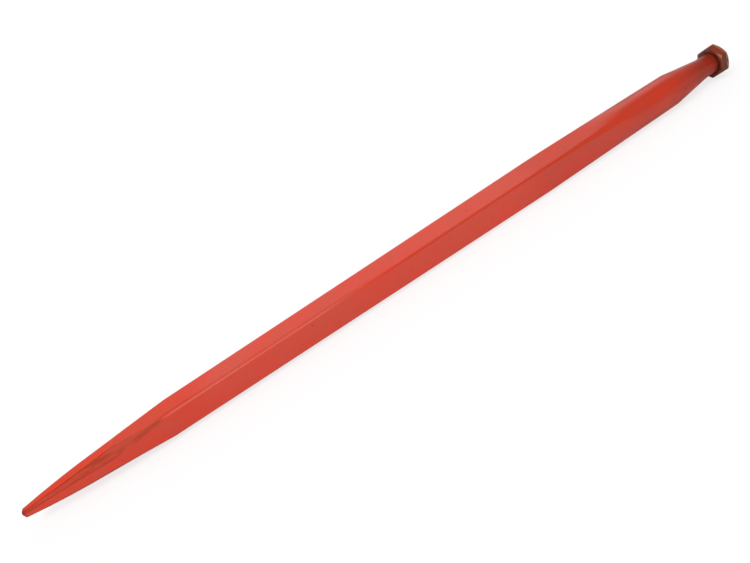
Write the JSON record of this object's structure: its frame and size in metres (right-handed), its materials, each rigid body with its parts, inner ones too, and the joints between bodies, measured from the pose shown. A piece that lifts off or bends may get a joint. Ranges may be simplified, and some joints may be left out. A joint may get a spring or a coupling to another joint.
{
  "type": "bale spear",
  "caption": "Straight forged bar with a blunt point with four corner flats, a square-to-round rear, a conical seat and a threaded stub closed by a thin hexagon nut.",
  "frame": {"origin": "on the bar's axis, in the plane of the large end of the conical seat", "axes": "+X along the bar, from the point towards the nut; +Z square to the bar's upper flat; +Y square to a side flat"},
  "size_m": [0.934, 0.0362, 0.039],
  "materials": {
    "spear_paint": "semi-gloss red paint over a forged, hammered surface, worn through to a lighter tone along the front ridge",
    "nut_paint": "dull dark red-brown overspray on a zinc-plated or plain steel nut, rubbed at its edges"
  },
  "bodies": {
    "root": {"spear": "spear_paint", "hex_nut": "nut_paint"}
  },
  "joints": []
}
